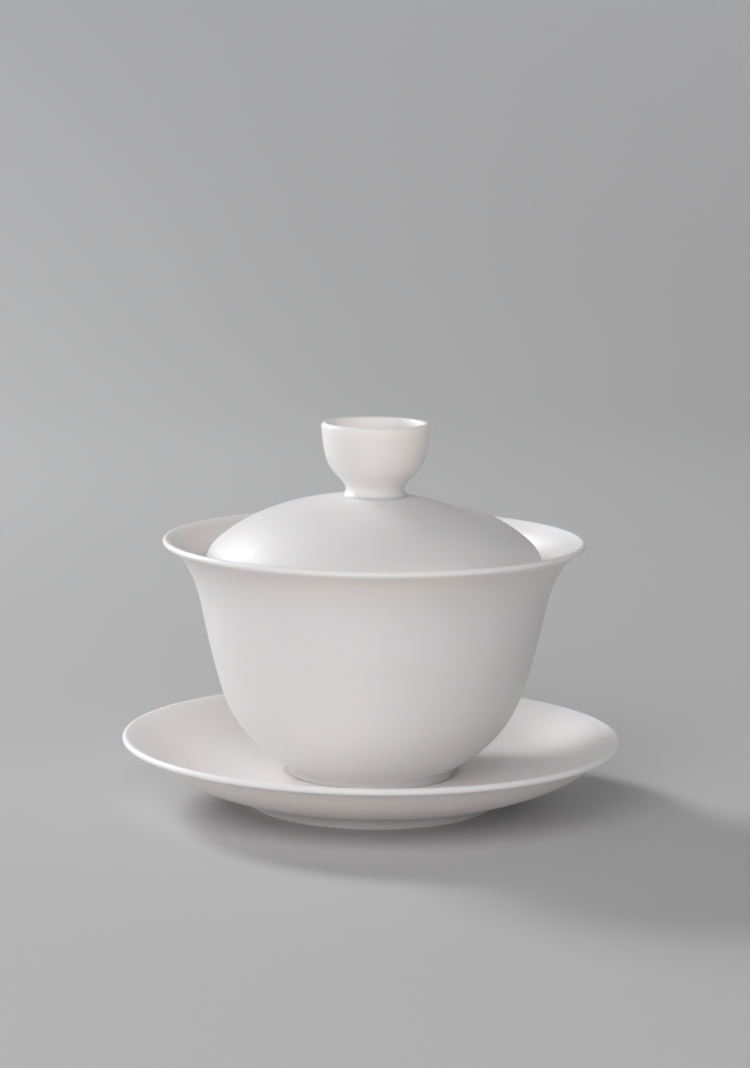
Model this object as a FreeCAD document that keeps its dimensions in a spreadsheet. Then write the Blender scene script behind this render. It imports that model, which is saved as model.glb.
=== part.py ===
import FreeCAD, Part
import math
import os
import re
import Sketcher

# A gaiwan: a saucer, a flared bowl that stands in the saucer's well, and a lid whose dome hangs
# inside the bowl's flare and carries a hollow cup-shaped knob.  Every piece is turned about +Z.
# The origin is the centre of the saucer's foot ring, on the surface that the gaiwan stands on.

SHEET_NAME = "Sizes"
SPLINE_DEGREE = 3
FULL_TURN = 360
FLAT = 1e-6
SKETCH_NORMAL = FreeCAD.Vector(0, 0, 1)
ORIGIN_POINT = (-1, 1)
SKETCH_AXES = {"r": -2, "up": -1}
START, END, CENTRE = 1, 2, 3

# Millimetres, and degrees for each lean.  "_r" is a radius from the axis and "_up" is a height above
# the piece's own base.  A lip is a half circle: its centre, its radius and the way the wall leans.
# The points between two ends of a wall are the control points of one smooth curve.
SIZES = (
    ("ring_round", 0.4, "rounding of both foot rings where they stand"),

    ("saucer_base_up", 3.8, "underside of the base, inside the foot ring"),
    ("saucer_ring_in_r", 25.6, "foot ring, inside, where it stands"),
    ("saucer_ring_top_r", 25.0, "foot ring, inside, where it joins the base"),
    ("saucer_ring_r", 28.4, "foot ring, outside, where it stands"),
    ("saucer_heel_r", 29.0, "foot ring, outside, where the underside starts"),
    ("saucer_heel_up", 3.1, "height of that joint"),
    ("saucer_keel_r", 34.5, "underside control point next to the foot ring"),
    ("saucer_keel_up", 3.2, ""),
    ("saucer_wing_r", 51.3, "underside control point of the long slope"),
    ("saucer_wing_up", 8.9, ""),
    ("saucer_edge_r", 54.8, "underside control point below the lip"),
    ("saucer_edge_up", 14.3, ""),
    ("saucer_lip_r", 57.4, "lip centre"),
    ("saucer_lip_up", 15.6, ""),
    ("saucer_lip_round", 0.8, ""),
    ("saucer_lip_lean", 35, ""),
    ("saucer_brim_r", 53.2, "upper control point below the lip"),
    ("saucer_brim_up", 15.0, ""),
    ("saucer_slope_r", 46.2, "upper control point of the long slope"),
    ("saucer_slope_up", 8.7, ""),
    ("saucer_dish_r", 33.0, "upper control point where the flat dish starts to rise"),
    ("saucer_floor_up", 7.7, "flat of the dish"),
    ("well_edge_r", 20.9, "outside of the well's rolled edge"),
    ("well_roll_r", 20.1, "middle of the rolled edge"),
    ("well_r", 19.5, "flat of the well that the bowl stands in"),
    ("well_up", 7.1, ""),

    ("bowl_recess_up", 1.5, "underside of the bowl, inside the foot ring"),
    ("bowl_ring_in_r", 16.6, "foot ring, inside, where it stands"),
    ("bowl_ring_top_r", 16.3, "foot ring, inside, where it joins the base"),
    ("bowl_ring_r", 19.0, "foot ring, outside, where it stands"),
    ("bowl_heel_r", 19.3, "foot ring, outside, where the belly starts"),
    ("bowl_heel_up", 1.9, ""),
    ("bowl_belly_r", 31.7, "outer control points, from the belly up to the flare"),
    ("bowl_belly_up", 8.9, ""),
    ("bowl_waist_r", 36.7, ""),
    ("bowl_waist_up", 24.9, ""),
    ("bowl_throat_r", 39.0, ""),
    ("bowl_throat_up", 34.2, ""),
    ("bowl_flare_r", 42.3, ""),
    ("bowl_flare_up", 51.1, ""),
    ("bowl_lip_r", 48.3, "lip centre"),
    ("bowl_lip_up", 54.65, ""),
    ("bowl_lip_round", 0.75, ""),
    ("bowl_lip_lean", 45, ""),
    ("bowl_wall", 1.7, "wall at the throat"),
    ("bowl_basin_r", 30.9, "inner control point of the belly"),
    ("bowl_basin_up", 13.0, ""),
    ("bowl_corner_r", 19.5, "inner control points where the wall turns into the floor"),
    ("bowl_flat_r", 8.0, ""),
    ("bowl_floor_up", 3.5, ""),

    ("lid_up", 51.5, "lid rim above the surface that the gaiwan stands on"),
    ("lid_rim_r", 38.35, "rim centre"),
    ("lid_rim_up", 0.95, ""),
    ("lid_rim_round", 0.95, ""),
    ("lid_rim_lean", -90, "the rim points straight down"),
    ("lid_skirt_r", 39.2, "outer control points, from the skirt up to the crown"),
    ("lid_skirt_up", 7.1, ""),
    ("lid_shoulder_r", 38.6, ""),
    ("lid_shoulder_up", 9.8, ""),
    ("lid_crown_r", 23.1, ""),
    ("lid_crown_up", 19.6, ""),
    ("lid_seat_r", 7.4, "flat that the knob is luted to"),
    ("lid_seat_up", 21.1, ""),
    ("lid_inside_skirt_r", 37.2, "inner control points, from the skirt up to the crown"),
    ("lid_inside_skirt_up", 6.0, ""),
    ("lid_inside_shoulder_r", 38.2, ""),
    ("lid_inside_shoulder_up", 8.3, ""),
    ("lid_inside_crown_r", 18.6, ""),
    ("lid_inside_crown_up", 19.1, ""),

    ("knob_base_r", 7.3, "where the knob meets the dome"),
    ("knob_neck_r", 5.6, "outer control points, from the neck up to the side of the cup"),
    ("knob_neck_up", 2.2, ""),
    ("knob_cup_r", 11.1, ""),
    ("knob_cup_up", 5.2, ""),
    ("knob_side_r", 12.2, ""),
    ("knob_side_up", 10.9, ""),
    ("knob_lip_r", 11.77, "lip centre"),
    ("knob_lip_up", 16.15, ""),
    ("knob_lip_round", 0.85, ""),
    ("knob_lip_lean", 87, ""),
    ("knob_inside_side_r", 10.5, "inner control points, from the side down to the cup's floor"),
    ("knob_inside_side_up", 12.0, ""),
    ("knob_inside_cup_r", 10.2, ""),
    ("knob_inside_cup_up", 7.4, ""),
    ("knob_inside_floor_r", 5.2, ""),
    ("knob_inside_floor_up", 4.2, ""),
)


def make_sheet(doc):
    """The spreadsheet of driving dimensions: one row for each size, with its name as the alias."""
    sheet = doc.addObject("Spreadsheet::Sheet", SHEET_NAME)
    for row, (alias, value, meaning) in enumerate(SIZES, start=1):
        sheet.set(f"A{row}", alias)
        sheet.set(f"B{row}", str(value))
        sheet.setAlias(f"B{row}", alias)
        sheet.set(f"C{row}", meaning)


def bound(formula):
    """The formula with every size in it read from the spreadsheet."""
    return re.sub(r"\b(?!sin\b|cos\b)([a-z]\w*)", SHEET_NAME + r".\1", formula)


# An outline is a starting point and a list of runs.  Each run goes on from the last point, so that
# the solid lies on its left.  A point is a pair of formulas: radius and height.

def line(point):
    return {"kind": "line", "points": [point]}


def curve(*points):
    """One smooth curve: control points, then the end point."""
    return {"kind": "curve", "points": list(points)}


def arc(radius, point):
    return {"kind": "arc", "points": [point], "radius": radius}


def lip(name):
    """Where the wall meets its half-round lip, and the two quarter circles over the lip."""
    centre_r, centre_up = f"{name}_r", f"{name}_up"
    radius, lean = f"{name}_round", f"{name}_lean"
    first = (f"{centre_r} + {radius} * sin({lean})", f"{centre_up} - {radius} * cos({lean})")
    tip = (f"{centre_r} + {radius} * cos({lean})", f"{centre_up} + {radius} * sin({lean})")
    last = (f"{centre_r} - {radius} * sin({lean})", f"{centre_up} + {radius} * cos({lean})")
    return first, [arc(radius, tip), arc(radius, last)]


def saucer_outline():
    start = ("0", "saucer_base_up")
    lip_start, lip_runs = lip("saucer_lip")
    foot = [
        line(("saucer_ring_top_r", "saucer_base_up")),
        line(("saucer_ring_in_r", "0")),
        line(("saucer_ring_r", "0")),
        line(("saucer_heel_r", "saucer_heel_up")),
    ]
    underside = curve(
        ("saucer_keel_r", "saucer_keel_up"),
        ("saucer_wing_r", "saucer_wing_up"),
        ("saucer_edge_r", "saucer_edge_up"),
        lip_start,
    )
    dish = curve(
        ("saucer_brim_r", "saucer_brim_up"),
        ("saucer_slope_r", "saucer_slope_up"),
        ("saucer_dish_r", "saucer_floor_up"),
        ("well_edge_r", "saucer_floor_up"),
    )
    rolled_edge = curve(
        ("well_roll_r", "saucer_floor_up"),
        ("well_roll_r", "well_up"),
        ("well_r", "well_up"),
    )
    well = [line(("0", "well_up")), line(start)]
    return start, foot + [underside] + lip_runs + [dish, rolled_edge] + well


def bowl_outline():
    start = ("0", "bowl_recess_up")
    lip_start, lip_runs = lip("bowl_lip")
    foot = [
        line(("bowl_ring_top_r", "bowl_recess_up")),
        line(("bowl_ring_in_r", "0")),
        line(("bowl_ring_r", "0")),
        line(("bowl_heel_r", "bowl_heel_up")),
    ]
    outside = curve(
        ("bowl_belly_r", "bowl_belly_up"),
        ("bowl_waist_r", "bowl_waist_up"),
        ("bowl_throat_r", "bowl_throat_up"),
        ("bowl_flare_r", "bowl_flare_up"),
        lip_start,
    )
    inside = curve(
        ("bowl_flare_r - 0.94 * bowl_wall", "bowl_flare_up + 0.6 * bowl_wall"),
        ("bowl_throat_r - bowl_wall", "bowl_throat_up + 0.65 * bowl_wall"),
        ("bowl_basin_r", "bowl_basin_up"),
        ("bowl_corner_r", "bowl_floor_up"),
        ("bowl_flat_r", "bowl_floor_up"),
        ("0", "bowl_floor_up"),
    )
    return start, foot + [outside] + lip_runs + [inside, line(start)]


def lid_dome_outline():
    start = ("0", "lid_inside_crown_up")
    rim_start, rim_runs = lip("lid_rim")
    inside = curve(
        ("lid_inside_crown_r", "lid_inside_crown_up"),
        ("lid_inside_shoulder_r", "lid_inside_shoulder_up"),
        ("lid_inside_skirt_r", "lid_inside_skirt_up"),
        rim_start,
    )
    outside = curve(
        ("lid_skirt_r", "lid_skirt_up"),
        ("lid_shoulder_r", "lid_shoulder_up"),
        ("lid_crown_r", "lid_crown_up"),
        ("lid_seat_r", "lid_seat_up"),
    )
    seat = [line(("0", "lid_seat_up")), line(start)]
    return start, [inside] + rim_runs + [outside] + seat


def lid_knob_outline():
    start = ("0", "0")
    lip_start, lip_runs = lip("knob_lip")
    outside = curve(
        ("knob_neck_r", "knob_neck_up"),
        ("knob_cup_r", "knob_cup_up"),
        ("knob_side_r", "knob_side_up"),
        lip_start,
    )
    inside = curve(
        ("knob_inside_side_r", "knob_inside_side_up"),
        ("knob_inside_cup_r", "knob_inside_cup_up"),
        ("knob_inside_floor_r", "knob_inside_floor_up"),
        ("0", "knob_inside_floor_up"),
    )
    return start, [line(("knob_base_r", "0")), outside] + lip_runs + [inside, line(start)]


def add_run(sketch, run, before, values):
    """One edge of the outline, on from the point before it; returns its index in the sketch."""
    after = values[-1]
    if run["kind"] == "line":
        return sketch.addGeometry(Part.LineSegment(before, after), False)
    if run["kind"] == "curve":
        spline = Part.BSplineCurve()
        spline.buildFromPoles([before] + values, False, SPLINE_DEGREE)
        return sketch.addGeometry(spline, False)
    radius = sketch.evalExpression(bound(run["radius"]))
    chord = after - before
    middle = (before + after) / 2
    to_centre = SKETCH_NORMAL.cross(chord).normalize()
    centre = middle + to_centre * math.sqrt(radius**2 - (chord.Length / 2) ** 2)
    first, last = (math.atan2(point.y - centre.y, point.x - centre.x) for point in (before, after))
    circle = Part.Circle(centre, SKETCH_NORMAL, radius)
    return sketch.addGeometry(Part.ArcOfCircle(circle, first, last), False)


def constrain(sketch, kind, place, formula):
    """A size constraint that follows the spreadsheet."""
    value = sketch.evalExpression(bound(formula))
    index = sketch.addConstraint(Sketcher.Constraint(kind, *place, value))
    sketch.setExpression(f"Constraints[{index}]", bound(formula))


def place_point(sketch, geometry, position, point):
    """Ties one point of the sketch to its radius and height from the piece's own origin."""
    for kind, axis, formula in zip(("DistanceX", "DistanceY"), ("r", "up"), point):
        if formula == "0":
            on_axis = Sketcher.Constraint("PointOnObject", geometry, position, SKETCH_AXES[axis])
            sketch.addConstraint(on_axis)
        else:
            constrain(sketch, kind, (*ORIGIN_POINT, geometry, position), formula)


def draw_outline(body, start, runs):
    """The closed outline of a turned piece, in the plane through the axis."""
    plane = next(item for item in body.Origin.OriginFeatures if item.Role == "XZ_Plane")
    sketch = body.newObject("Sketcher::SketchObject", f"{body.Name}_outline")
    sketch.AttachmentSupport = [(plane, "")]
    sketch.MapMode = "FlatFace"

    def located(point):
        return FreeCAD.Vector(*(sketch.evalExpression(bound(formula)) for formula in point), 0)

    before = start
    edges = []
    for run in runs:
        values = [located(point) for point in run["points"]]
        edges.append(add_run(sketch, run, located(before), values))
        before = run["points"][-1]

    for edge, next_edge in zip(edges, edges[1:] + edges[:1]):
        sketch.addConstraint(Sketcher.Constraint("Coincident", edge, END, next_edge, START))
    for edge, run in zip(edges, runs):
        place_point(sketch, edge, END, run["points"][-1])
        if run["kind"] == "arc":
            constrain(sketch, "Radius", (edge,), run["radius"])
        if run["kind"] == "curve":
            first_pole = sketch.GeometryCount
            sketch.exposeInternalGeometry(edge)
            for offset, point in enumerate(run["points"][:-1], start=1):
                place_point(sketch, first_pole + offset, CENTRE, point)
    return sketch


def turn(doc, name, outline, height=None):
    """A body turned from its outline about +Z, at its height above the surface."""
    body = doc.addObject("PartDesign::Body", name)
    body.Label = name
    sketch = draw_outline(body, *outline)
    turning = body.newObject("PartDesign::Revolution", f"{name}_turning")
    turning.Profile = sketch
    turning.ReferenceAxis = (sketch, ["V_Axis"])
    turning.Angle = FULL_TURN
    if height:
        body.setExpression(".Placement.Base.z", bound(height))
    return body


def round_foot_ring(doc, body):
    """Rounds the two edges of the ring that a piece stands on."""
    doc.recompute()
    turning = body.Tip
    standing = [
        f"Edge{number}"
        for number, edge in enumerate(turning.Shape.Edges, start=1)
        if abs(edge.BoundBox.ZMax) < FLAT
    ]
    rounding = body.newObject("PartDesign::Fillet", f"{body.Name}_rounding")
    rounding.Base = (turning, standing)
    rounding.setExpression("Radius", bound("ring_round"))
    body.Tip = rounding


def check(doc, bodies):
    """Stops before anything is written if a feature failed or a piece isn't one sound solid."""
    failed = [item.Name for item in doc.Objects if {"Invalid", "Error"} & set(item.State)]
    unsound = [
        body.Label
        for body in bodies
        if body.Shape.isNull() or not body.Shape.isValid() or len(body.Shape.Solids) != 1
    ]
    if failed or unsound:
        raise RuntimeError(f"failed features: {failed}, unsound pieces: {unsound}")


def main():
    doc = FreeCAD.newDocument("gaiwan")
    make_sheet(doc)
    doc.recompute()

    saucer = turn(doc, "saucer", saucer_outline())
    bowl = turn(doc, "bowl", bowl_outline(), height="well_up")
    lid_dome = turn(doc, "lid_dome", lid_dome_outline(), height="lid_up")
    lid_knob = turn(doc, "lid_knob", lid_knob_outline(), height="lid_up + lid_seat_up")
    round_foot_ring(doc, saucer)
    round_foot_ring(doc, bowl)
    doc.recompute()

    bodies = (saucer, bowl, lid_dome, lid_knob)
    check(doc, bodies)
    os.makedirs("parts", exist_ok=True)
    for body in bodies:
        body.Shape.exportStep(f"parts/{body.Label}.step")


main()
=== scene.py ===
import math

import bpy
from mathutils import Matrix, Vector, noise


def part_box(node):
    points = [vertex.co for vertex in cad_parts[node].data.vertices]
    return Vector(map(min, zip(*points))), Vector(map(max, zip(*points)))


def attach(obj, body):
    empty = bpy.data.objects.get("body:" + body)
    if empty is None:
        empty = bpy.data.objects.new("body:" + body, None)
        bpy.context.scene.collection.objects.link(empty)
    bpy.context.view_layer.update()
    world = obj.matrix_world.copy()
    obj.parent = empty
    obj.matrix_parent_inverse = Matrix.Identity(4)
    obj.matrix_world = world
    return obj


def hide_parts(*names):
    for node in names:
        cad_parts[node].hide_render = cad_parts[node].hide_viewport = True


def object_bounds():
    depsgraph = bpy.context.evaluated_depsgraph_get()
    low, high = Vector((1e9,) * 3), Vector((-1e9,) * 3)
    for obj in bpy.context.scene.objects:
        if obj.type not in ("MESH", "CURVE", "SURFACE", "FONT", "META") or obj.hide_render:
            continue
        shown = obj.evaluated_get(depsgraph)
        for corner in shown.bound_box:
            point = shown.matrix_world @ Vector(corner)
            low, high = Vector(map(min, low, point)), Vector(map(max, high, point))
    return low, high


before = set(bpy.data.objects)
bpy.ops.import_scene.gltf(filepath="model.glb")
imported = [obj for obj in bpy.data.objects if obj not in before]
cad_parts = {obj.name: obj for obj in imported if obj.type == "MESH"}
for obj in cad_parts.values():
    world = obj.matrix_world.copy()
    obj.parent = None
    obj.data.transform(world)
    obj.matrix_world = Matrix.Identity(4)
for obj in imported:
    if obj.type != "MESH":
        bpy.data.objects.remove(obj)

cad_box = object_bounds()

# A white porcelain gaiwan: each piece is turned from the same outline as its CAD node, with its
# glaze, its bare foot ring and the slight unevenness of a fired pot added.  Outlines are in
# millimetres, as (radius, height above the foot of the piece); the meshes are in metres, in the
# CAD frame.
SEGMENTS = 256          # round the axis
CURVE_STEPS = 40        # points along one smooth stretch of wall
ARC_STEPS = 12          # points over a half-round lip, a small step or a flat
CORNER_STEPS = 5        # points round a small corner
FOOT_ROUND = 0.4        # mm, the corners of a foot ring
GLAZED, BARE = 0, 1     # material slots of a piece

# ---------------------------------------------------------------- outlines

# Points that an outline shares with the glaze on it: (radius, height).
SAUCER_LIP, SAUCER_HEEL, SAUCER_RECESS = (57.4, 15.6), (29.0, 3.1), (25.0, 3.8)
BOWL_LIP, BOWL_HEEL, BOWL_RECESS = (48.3, 54.65), (19.3, 1.9), (16.3, 1.5)
LID_RIM, LID_TOP = (38.35, 0.95), 21.1
KNOB_LIP, KNOB_FLOOR = (11.77, 16.15), (0, 4.2)


def curve(points, steps=CURVE_STEPS):
    """A clamped cubic B-spline through its two end points, shaped by the points between them."""
    degree = 3
    spans = len(points) - degree
    knots = [0] * degree + list(range(spans + 1)) + [spans] * degree

    def weight(i, d, u):
        if d == 0:
            return 1.0 if knots[i] <= u < knots[i + 1] else 0.0
        total = 0.0
        if knots[i + d] > knots[i]:
            total += (u - knots[i]) / (knots[i + d] - knots[i]) * weight(i, d - 1, u)
        if knots[i + d + 1] > knots[i + 1]:
            total += (knots[i + d + 1] - u) / (knots[i + d + 1] - knots[i + 1]) * weight(i + 1, d - 1, u)
        return total

    found = []
    for step in range(steps):
        weights = [weight(i, degree, spans * step / steps) for i in range(len(points))]
        found.append(tuple(sum(w * p[axis] for w, p in zip(weights, points)) for axis in (0, 1)))
    return found + [tuple(points[-1])]


def lip(centre, radius, lean):
    """The half circle over a lip whose wall leans by this many degrees from level."""
    first = math.radians(lean - 90)
    angles = [first + math.pi * step / ARC_STEPS for step in range(ARC_STEPS + 1)]
    return [(centre[0] + radius * math.cos(a), centre[1] + radius * math.sin(a)) for a in angles]


def rounded(corners, radius):
    """Straight runs whose inner corners are rounded; the two ends stay where they are."""
    path = [corners[0]]
    for before, corner, after in zip(corners, corners[1:], corners[2:]):
        corner = Vector(corner)
        back = (Vector(before) - corner).normalized()
        ahead = (Vector(after) - corner).normalized()
        half = back.angle(ahead) / 2
        reach = radius / math.tan(half)
        start, end = corner + back * reach, corner + ahead * reach
        for step in range(CORNER_STEPS + 1):
            t = step / CORNER_STEPS
            path.append(tuple(start * (1 - t) ** 2 + corner * 2 * t * (1 - t) + end * t**2))
    return path + [corners[-1]]


def straight(start, end, steps):
    return [tuple(Vector(start).lerp(Vector(end), step / steps)) for step in range(steps + 1)]


def joined(*stretches):
    """Stretches of outline, each starting where the last one ends, as one list of points."""
    points = list(stretches[0])
    for stretch in stretches[1:]:
        points += stretch[1:]
    return points


def saucer_outline():
    lip_over = lip(SAUCER_LIP, 0.8, 35)
    foot = rounded([(0, 3.8), SAUCER_RECESS, (25.6, 0), (28.4, 0), SAUCER_HEEL], FOOT_ROUND)
    under = curve([SAUCER_HEEL, (34.5, 3.2), (51.3, 8.9), (54.8, 14.3), lip_over[0]])
    dish = curve([lip_over[-1], (53.2, 15.0), (46.2, 8.7), (33.0, 7.7), (20.9, 7.7)])
    well_edge = curve([(20.9, 7.7), (20.1, 7.7), (20.1, 7.1), (19.5, 7.1)], ARC_STEPS)
    return joined(foot, under, lip_over, dish, well_edge, straight((19.5, 7.1), (0, 7.1), ARC_STEPS))


def bowl_outline():
    lip_over = lip(BOWL_LIP, 0.75, 45)
    foot = rounded([(0, 1.5), BOWL_RECESS, (16.6, 0), (19.0, 0), BOWL_HEEL], FOOT_ROUND)
    outside = curve([BOWL_HEEL, (31.7, 8.9), (36.7, 24.9), (39.0, 34.2), (42.3, 51.1), lip_over[0]])
    inside = curve(
        [lip_over[-1], (40.7, 52.1), (37.3, 35.3), (30.9, 13.0), (19.5, 3.5), (8.0, 3.5), (0, 3.5)]
    )
    return joined(foot, outside, lip_over, inside)


def lid_dome_outline():
    rim = lip(LID_RIM, 0.95, -90)
    inside = curve([(0, 19.1), (18.6, 19.1), (38.2, 8.3), (37.2, 6.0), rim[0]])
    outside = curve([rim[-1], (39.2, 7.1), (38.6, 9.8), (23.1, 19.6), (7.4, LID_TOP)])
    return joined(inside, rim, outside, straight((7.4, LID_TOP), (0, LID_TOP), ARC_STEPS))


def lid_knob_outline():
    """The glaze runs a little way out on the dome, where the knob is luted to it."""
    lip_over = lip(KNOB_LIP, 0.85, 87)
    foot = [(0, 0), (7.0, 0), (7.8, -0.1), (7.52, 0.08), (7.34, 0.2), (7.2, 0.4)]
    outside = curve([(7.2, 0.4), (5.7, 2.3), (11.1, 5.2), (12.2, 10.9), lip_over[0]])
    inside = curve([lip_over[-1], (10.5, 12.0), (10.2, 7.4), (5.2, 4.2), KNOB_FLOOR])
    return joined(foot, outside, lip_over, inside)


# Where the glaze gathers in creases and recesses (+), darker and warmer, with painted crease shade in
# that colour, and where it drains away and stays thin at the lips (-), whiter, with painted rim light in
# that colour: a point of the outline, how far the change reaches and how strong it is.
GLAZE_AND_SHADING = {
    "saucer": [(SAUCER_HEEL, 2.0, 0.5), (SAUCER_RECESS, 1.5, 0.4), ((20.0, 7.2), 1.2, 0.3),
               (SAUCER_LIP, 1.5, -0.5)],
    "bowl": [(BOWL_HEEL, 1.8, 0.5), (BOWL_RECESS, 1.5, 0.4), (BOWL_LIP, 1.6, -0.5)],
    "lid_dome": [((7.6, LID_TOP), 1.6, 0.5), (LID_RIM, 1.6, -0.5)],
    "lid_knob": [((7.0, 0.4), 1.6, 0.5), (KNOB_FLOOR, 4.0, 0.3), (KNOB_LIP, 1.4, -0.5)],
}

# ---------------------------------------------------------------- meshes

WOBBLE = ((2, 0.05), (3, 0.03), (5, 0.012))     # waves round the axis, and their height in mm
TRIM_LINES = 0.012                              # mm, faint rings left by the turning tool
TRIM_SPACING = 2.4                              # mm
BARE_BELOW = 0.5                                # mm above the standing edge, wiped free of glaze
ON_AXIS = 1e-6                                  # mm, nearer than this is a point on the axis


def glaze_and_shading_at(point, node):
    """0 where the glaze is thinnest and the painted rim light strongest, 1 where it is thickest and the
    painted crease shade deepest.
    """
    amount = 0.5
    for centre, reach, strength in GLAZE_AND_SHADING[node]:
        distance = math.dist(point, centre)
        amount += strength * math.exp(-((distance / reach) ** 2))
    return min(1.0, max(0.0, amount))


def unevenness(radius, height, angle, widest, seed):
    """How far a fired pot departs from a true turning, along the radius, in mm."""
    sway = sum(size * math.cos(waves * angle + seed * waves) for waves, size in WOBBLE)
    rings = noise.noise(Vector((height / TRIM_SPACING, radius / TRIM_SPACING, seed)))
    return sway * radius / widest + TRIM_LINES * rings * min(1.0, radius)


def turned(name, node, outline, foot_ring, seed):
    """A closed mesh turned from the outline, on the place and at the size of its CAD node."""
    low, high = (Vector(corner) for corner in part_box(node))
    widest = max(r for r, _ in outline)
    tallest = max(z for _, z in outline)
    across = (high.x - low.x) / 2 / widest
    upward = (high.z - low.z) / tallest
    verts, faces, slots, glaze_and_shading, rings = [], [], [], [], []
    for r, z in outline:
        on_axis = r < ON_AXIS
        count = 1 if on_axis else SEGMENTS
        rings.append(range(len(verts), len(verts) + count))
        for k in range(count):
            angle = math.tau * k / SEGMENTS
            radius = 0.0 if on_axis else r + unevenness(r, z, angle, widest, seed)
            place = (radius * across * math.cos(angle), radius * across * math.sin(angle))
            verts.append((*place, low.z + z * upward))
            glaze_and_shading.append(glaze_and_shading_at((r, z), node))
    for (lower, upper), points in zip(zip(rings, rings[1:]), zip(outline, outline[1:])):
        bare = foot_ring and max(z for _, z in points) < BARE_BELOW
        for k in range(SEGMENTS):
            n = (k + 1) % SEGMENTS
            if len(lower) == 1:
                face = (lower[0], upper[n], upper[k])
            elif len(upper) == 1:
                face = (lower[k], lower[n], upper[0])
            else:
                face = (lower[k], lower[n], upper[n], upper[k])
            faces.append(face)
            slots.append(BARE if bare else GLAZED)

    mesh = bpy.data.meshes.new(name)
    mesh.from_pydata(verts, [], faces)
    mesh.polygons.foreach_set("material_index", slots)
    mesh.polygons.foreach_set("use_smooth", [True] * len(faces))
    # per point, how thick the glaze is, which also sets the painted rim light on the lips and the painted
    # shade in the creases
    layer = mesh.attributes.new("glaze_and_shading", "FLOAT", "POINT")
    layer.data.foreach_set("value", glaze_and_shading)
    mesh.update()
    piece = bpy.data.objects.new(name, mesh)
    bpy.context.scene.collection.objects.link(piece)
    return piece


# ---------------------------------------------------------------- materials


MIX_FACTOR, MIX_FIRST, MIX_SECOND, MIX_RESULT = 0, 6, 7, 2      # sockets of a Mix node for colours


class Nodes:
    """A new material's node tree, with short calls to add and join nodes."""

    def __init__(self, name):
        self.material = bpy.data.materials.new(name)
        self.material.use_nodes = True
        self.tree = self.material.node_tree
        self.shader = self.tree.nodes["Principled BSDF"]
        self.place = self.add("ShaderNodeTexCoord").outputs["Object"]

    def add(self, kind, values=None, **settings):
        """A node; values go to its inputs, where another node's output is joined on."""
        node = self.tree.nodes.new(kind)
        for key, value in settings.items():
            setattr(node, key, value)
        for key, value in (values or {}).items():
            if isinstance(value, bpy.types.NodeSocket):
                self.tree.links.new(value, node.inputs[key])
            else:
                node.inputs[key].default_value = value
        return node

    def cloud(self, size, detail=2.0, offset=(0, 0, 0)):
        """Noise between 0 and 1 whose features are about size metres across."""
        place = self.place
        if any(offset):
            place = self.add("ShaderNodeVectorMath", {0: place, 1: offset}).outputs[0]
        values = {"Vector": place, "Scale": 1 / size, "Detail": detail}
        return self.add("ShaderNodeTexNoise", values).outputs["Fac"]

    def spread(self, value, low, high, from_low=0.0, from_high=1.0):
        """The value's stretch from from_low to from_high, laid out from low to high."""
        source = {"Value": value, "From Min": from_low, "From Max": from_high}
        return self.add("ShaderNodeMapRange", {**source, "To Min": low, "To Max": high}).outputs["Result"]

    def math(self, operation, first, second):
        return self.add("ShaderNodeMath", {0: first, 1: second}, operation=operation).outputs[0]

    def blend(self, amount, first, second):
        """A colour between two others."""
        values = {MIX_FACTOR: amount, MIX_FIRST: first, MIX_SECOND: second}
        return self.add("ShaderNodeMix", values, data_type="RGBA").outputs[MIX_RESULT]

    def specks(self, cell, radius, share, offset):
        """1 inside round specks: at most one to a cell, and only in this share of the cells."""
        place = self.add("ShaderNodeVectorMath", {0: self.place, 1: offset}).outputs[0]
        voronoi = self.add("ShaderNodeTexVoronoi", {"Vector": place, "Scale": 1 / cell})
        core, edge = 0.6 * radius / cell, radius / cell
        near = self.spread(voronoi.outputs["Distance"], 1, 0, core, edge)
        chance = self.add("ShaderNodeSeparateColor", {0: voronoi.outputs["Color"]}).outputs[0]
        return self.math("MULTIPLY", near, self.math("LESS_THAN", chance, share))

    def bump(self, height, distance, strength=1.0, under=None):
        values = {"Height": height, "Distance": distance, "Strength": strength}
        if under is not None:
            values["Normal"] = under
        return self.add("ShaderNodeBump", values).outputs["Normal"]

    def finish(self, links, values):
        for key, socket in links.items():
            self.tree.links.new(socket, self.shader.inputs[key])
        for key, value in values.items():
            self.shader.inputs[key].default_value = value
        return self.material


WARM_BODY = (0.835, 0.806, 0.795, 1)
COOL_BODY = (0.812, 0.796, 0.798, 1)
# whiter where the glaze is thin at the lips: partly thin glaze, partly painted rim light
THIN_GLAZE_AND_RIM_LIGHT = (0.862, 0.848, 0.845, 1)
# darker and warmer where the glaze pools in creases and recesses: partly pooled glaze, partly painted
# crease shade
POOLED_GLAZE_AND_CREASE_SHADE = (0.795, 0.775, 0.755, 1)
IRON_SPECK = (0.23, 0.16, 0.11, 1)
SPECK_DEPTH = 0.75          # how far a speck takes over from the white


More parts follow.
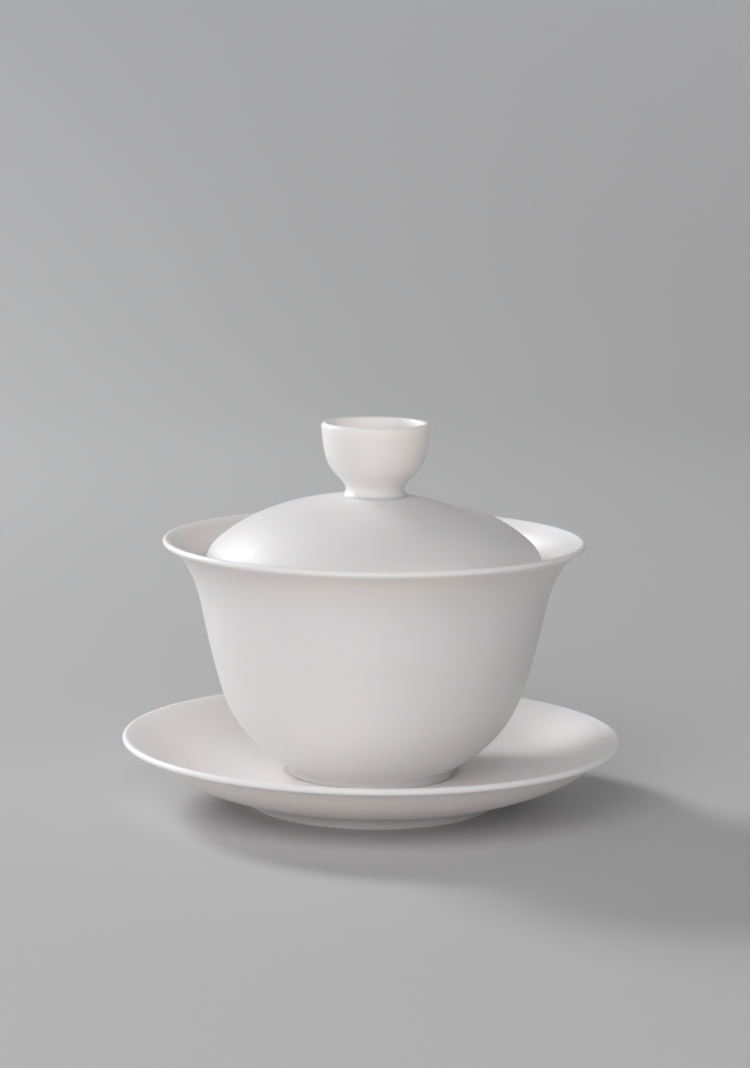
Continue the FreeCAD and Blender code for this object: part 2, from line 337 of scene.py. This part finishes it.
def glazed_porcelain():
    """Milky white body under a satin glaze: whiter where it is thin at the lips, with painted rim light,
    and darker and warmer where it has pooled in creases, with painted crease shade.
    """
    n = Nodes("glazed_porcelain")
    glaze_and_shading = n.add("ShaderNodeAttribute", attribute_name="glaze_and_shading").outputs["Fac"]
    white = n.blend(n.cloud(0.028, 3), WARM_BODY, COOL_BODY)
    # painted rim light: the lips are whitened where the glaze is thin
    white = n.blend(n.spread(glaze_and_shading, 1, 0, 0.0, 0.5), white, THIN_GLAZE_AND_RIM_LIGHT)
    # painted crease shade: creases and recesses are darkened and warmed where the glaze pools
    white = n.blend(n.spread(glaze_and_shading, 0, 1, 0.5, 1.0), white, POOLED_GLAZE_AND_CREASE_SHADE)
    speck = n.specks(cell=0.013, radius=0.00022, share=0.10, offset=(0.31, 0.17, 0.05))
    white = n.blend(n.math("MULTIPLY", speck, SPECK_DEPTH), white, IRON_SPECK)
    roughness = n.spread(n.cloud(0.011, 4, (0.2, 0.1, 0.4)), 0.42, 0.50, 0.3, 0.7)
    waves = n.bump(n.cloud(0.009, 1), 0.00016)
    peel = n.bump(n.cloud(0.0016, 1, (0.5, 0.2, 0.1)), 0.000012, under=waves)
    pits = n.specks(cell=0.008, radius=0.00016, share=0.12, offset=(0.11, 0.43, 0.27))
    normal = n.bump(n.math("SUBTRACT", 1.0, pits), 0.00004, under=peel)
    return n.finish(
        {"Base Color": white, "Roughness": roughness, "Normal": normal},
        {
            "IOR": 1.5,
            "Coat Weight": 0.08,
            "Coat Roughness": 0.12,
            "Subsurface Weight": 0.6,
            "Subsurface Radius": (1.0, 0.72, 0.52),
            "Subsurface Scale": 0.003,
        },
    )


FINE_CLAY = (0.62, 0.59, 0.54, 1)
PALE_CLAY = (0.74, 0.71, 0.66, 1)
RUBBED_CLAY = (0.50, 0.47, 0.43, 1)


def bare_porcelain():
    """Dry fired clay on the ring that a piece stands on: matt, fine-grained and a little worn."""
    n = Nodes("bare_porcelain")
    clay = n.blend(n.cloud(0.0012, 4), FINE_CLAY, PALE_CLAY)
    rubbed = n.spread(n.cloud(0.009, 3, (0.3, 0.3, 0.1)), 0, 0.5, 0.45, 0.75)
    clay = n.blend(rubbed, clay, RUBBED_CLAY)
    roughness = n.spread(n.cloud(0.004, 3), 0.62, 0.85)
    normal = n.bump(n.cloud(0.0006, 3, (0.7, 0.1, 0.2)), 0.00006)
    return n.finish({"Base Color": clay, "Roughness": roughness, "Normal": normal}, {"IOR": 1.45})


FLOOR_TONES = (0.72, 0.715, 0.71, 1), (0.75, 0.745, 0.74, 1)
SWEEP_TONE = (0.93, 0.93, 0.93, 1)
SWEEP_TONE_AT = 0.35        # metres above the floor


def pale_floor():
    """Pale matt card, lighter up the sweep, where less light falls."""
    n = Nodes("pale_floor")
    height = n.add("ShaderNodeSeparateXYZ", {0: n.place}).outputs["Z"]
    tone = n.blend(n.cloud(0.35, 2), *FLOOR_TONES)
    tone = n.blend(n.spread(height, 0, 1, 0.0, SWEEP_TONE_AT), tone, SWEEP_TONE)
    roughness = n.spread(n.cloud(0.05, 3), 0.6, 0.72)
    return n.finish({"Base Color": tone, "Roughness": roughness}, {})


# ---------------------------------------------------------------- the gaiwan

GLAZED_PORCELAIN = glazed_porcelain()
BARE_PORCELAIN = bare_porcelain()

PIECES = (
    # piece, CAD node, body, outline, stands on a bare ring
    ("saucer_turned", "saucer", "saucer", saucer_outline(), True),
    ("bowl_turned", "bowl", "bowl", bowl_outline(), True),
    ("lid_dome_turned", "lid_dome", "lid", lid_dome_outline(), False),
    ("lid_knob_turned", "lid_knob", "lid", lid_knob_outline(), False),
)

PORCELAIN = bpy.data.collections.new("porcelain")      # what the panels that miss the floor light

for seed, (name, node, body, outline, foot_ring) in enumerate(PIECES, start=1):
    piece = turned(name, node, outline, foot_ring, seed)
    piece.data.materials.append(GLAZED_PORCELAIN)
    if foot_ring:
        piece.data.materials.append(BARE_PORCELAIN)
    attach(piece, body)
    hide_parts(node)
    PORCELAIN.objects.link(piece)

# ---------------------------------------------------------------- floor, light and camera

FLOOR_RADIUS = 0.8          # metres from the gaiwan to the foot of the sweep
SWEEP_RADIUS = 1.1          # where the floor curves up
SWEEP_TURN = 60             # degrees, at the top of the sweep
SWEEP_STEPS = 24
ROUND_STEPS = 96


def backdrop():
    """A round pale floor that sweeps up at its edge, so the ground is the same from every side."""
    path = [(FLOOR_RADIUS, 0.0)]
    for step in range(1, SWEEP_STEPS + 1):
        turn = math.radians(SWEEP_TURN * step / SWEEP_STEPS)
        path.append((FLOOR_RADIUS + SWEEP_RADIUS * math.sin(turn), SWEEP_RADIUS * (1 - math.cos(turn))))
    ground = cad_box[0][2]
    verts = [(0, 0, ground)]
    for radius, height in path:
        for k in range(ROUND_STEPS):
            angle = math.tau * k / ROUND_STEPS
            verts.append((radius * math.cos(angle), radius * math.sin(angle), ground + height))
    faces = []
    for k in range(ROUND_STEPS):
        n = (k + 1) % ROUND_STEPS
        faces.append((0, 1 + k, 1 + n))
        for ring in range(len(path) - 1):
            lower, upper = 1 + ring * ROUND_STEPS, 1 + (ring + 1) * ROUND_STEPS
            faces.append((lower + k, upper + k, upper + n, lower + n))
    mesh = bpy.data.meshes.new("floor")
    mesh.from_pydata(verts, [], faces)
    mesh.polygons.foreach_set("use_smooth", [True] * len(faces))
    mesh.materials.append(pale_floor())
    floor = bpy.data.objects.new("floor", mesh)
    bpy.context.scene.collection.objects.link(floor)


MIDDLE = (Vector(cad_box[0]) + Vector(cad_box[1])) / 2
PANEL_DISTANCE = 1.4        # metres from the gaiwan's middle

PANELS = (
    # panel, direction it shines from, side in metres, watts, colour, lights the floor too
    ("key", (-0.63, 0.567, 0.53), 0.34, 7.5, (0.97, 0.985, 1.0), True),
    ("left_low", (-0.86, 0.44, 0.26), 0.4, 7.5, (0.98, 0.99, 1.0), False),
    ("front_low", (0.05, -0.98, 0.18), 1.0, 6.2, (1.0, 0.95, 0.915), False),
    ("front_high", (-0.25, -0.84, 0.52), 1.0, 7, (0.985, 0.98, 1.0), True),
)


def softbox(name, direction, size, watts, colour, on_floor):
    """A square panel of light that faces the gaiwan from this direction."""
    light = bpy.data.lights.new(name, "AREA")
    light.shape = "SQUARE"
    light.size = size
    light.energy = watts
    light.color = colour
    lamp = bpy.data.objects.new(name, light)
    toward = Vector(direction).normalized()
    lamp.location = MIDDLE + toward * PANEL_DISTANCE
    lamp.rotation_euler = toward.to_track_quat("Z", "Y").to_euler()
    lamp.visible_camera = False
    if not on_floor:
        lamp.light_linking.receiver_collection = PORCELAIN
    bpy.context.scene.collection.objects.link(lamp)


ROOM_TINT = (0.97, 0.975, 1.0, 1)
HORIZON = 0.52              # brightness of the room level with the floor
OVERHEAD = 0.16             # and where it is dimmest
OVERHEAD_FROM = 0.75        # sine of the height from which it is dimmest


def make_world():
    """A plain room: bright near the horizon and dimmer overhead."""
    world = bpy.data.worlds.new("studio")
    world.use_nodes = True
    tree = world.node_tree
    background = tree.nodes["Background"]
    background.inputs["Color"].default_value = ROOM_TINT
    toward = tree.nodes.new("ShaderNodeSeparateXYZ")
    tree.links.new(tree.nodes.new("ShaderNodeTexCoord").outputs["Generated"], toward.inputs[0])
    strength = tree.nodes.new("ShaderNodeMapRange")
    tree.links.new(toward.outputs["Z"], strength.inputs["Value"])
    strength.inputs["From Max"].default_value = OVERHEAD_FROM
    strength.inputs["To Min"].default_value = HORIZON
    strength.inputs["To Max"].default_value = OVERHEAD
    tree.links.new(strength.outputs["Result"], background.inputs["Strength"])
    bpy.context.scene.world = world


CAMERA_BACK = 0.734         # metres in front of the axis
CAMERA_OVER_LIP = 0.11085   # metres above the bowl's lip
CAMERA_DOWN = 8.51          # degrees
CAMERA_RIGHT = 0.01         # degrees
CAMERA_ROLL = 0.73          # degrees
LENS = 107.9                # millimetres
SENSOR = 36                 # millimetres, along the frame's longer side


def make_camera():
    camera = bpy.data.objects.new("camera", bpy.data.cameras.new("camera"))
    camera.data.lens = LENS
    camera.data.sensor_width = SENSOR
    lip_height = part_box("bowl")[1][2]
    aim = (Matrix.Rotation(math.radians(-CAMERA_RIGHT), 4, "Z")
           @ Matrix.Rotation(math.radians(90 - CAMERA_DOWN), 4, "X")
           @ Matrix.Rotation(math.radians(CAMERA_ROLL), 4, "Z"))
    camera.matrix_world = Matrix.Translation((0, -CAMERA_BACK, lip_height + CAMERA_OVER_LIP)) @ aim
    bpy.context.scene.collection.objects.link(camera)
    bpy.context.scene.camera = camera


backdrop()
make_world()
for panel in PANELS:
    softbox(*panel)
make_camera()
bpy.context.scene.view_settings.view_transform = "Standard"
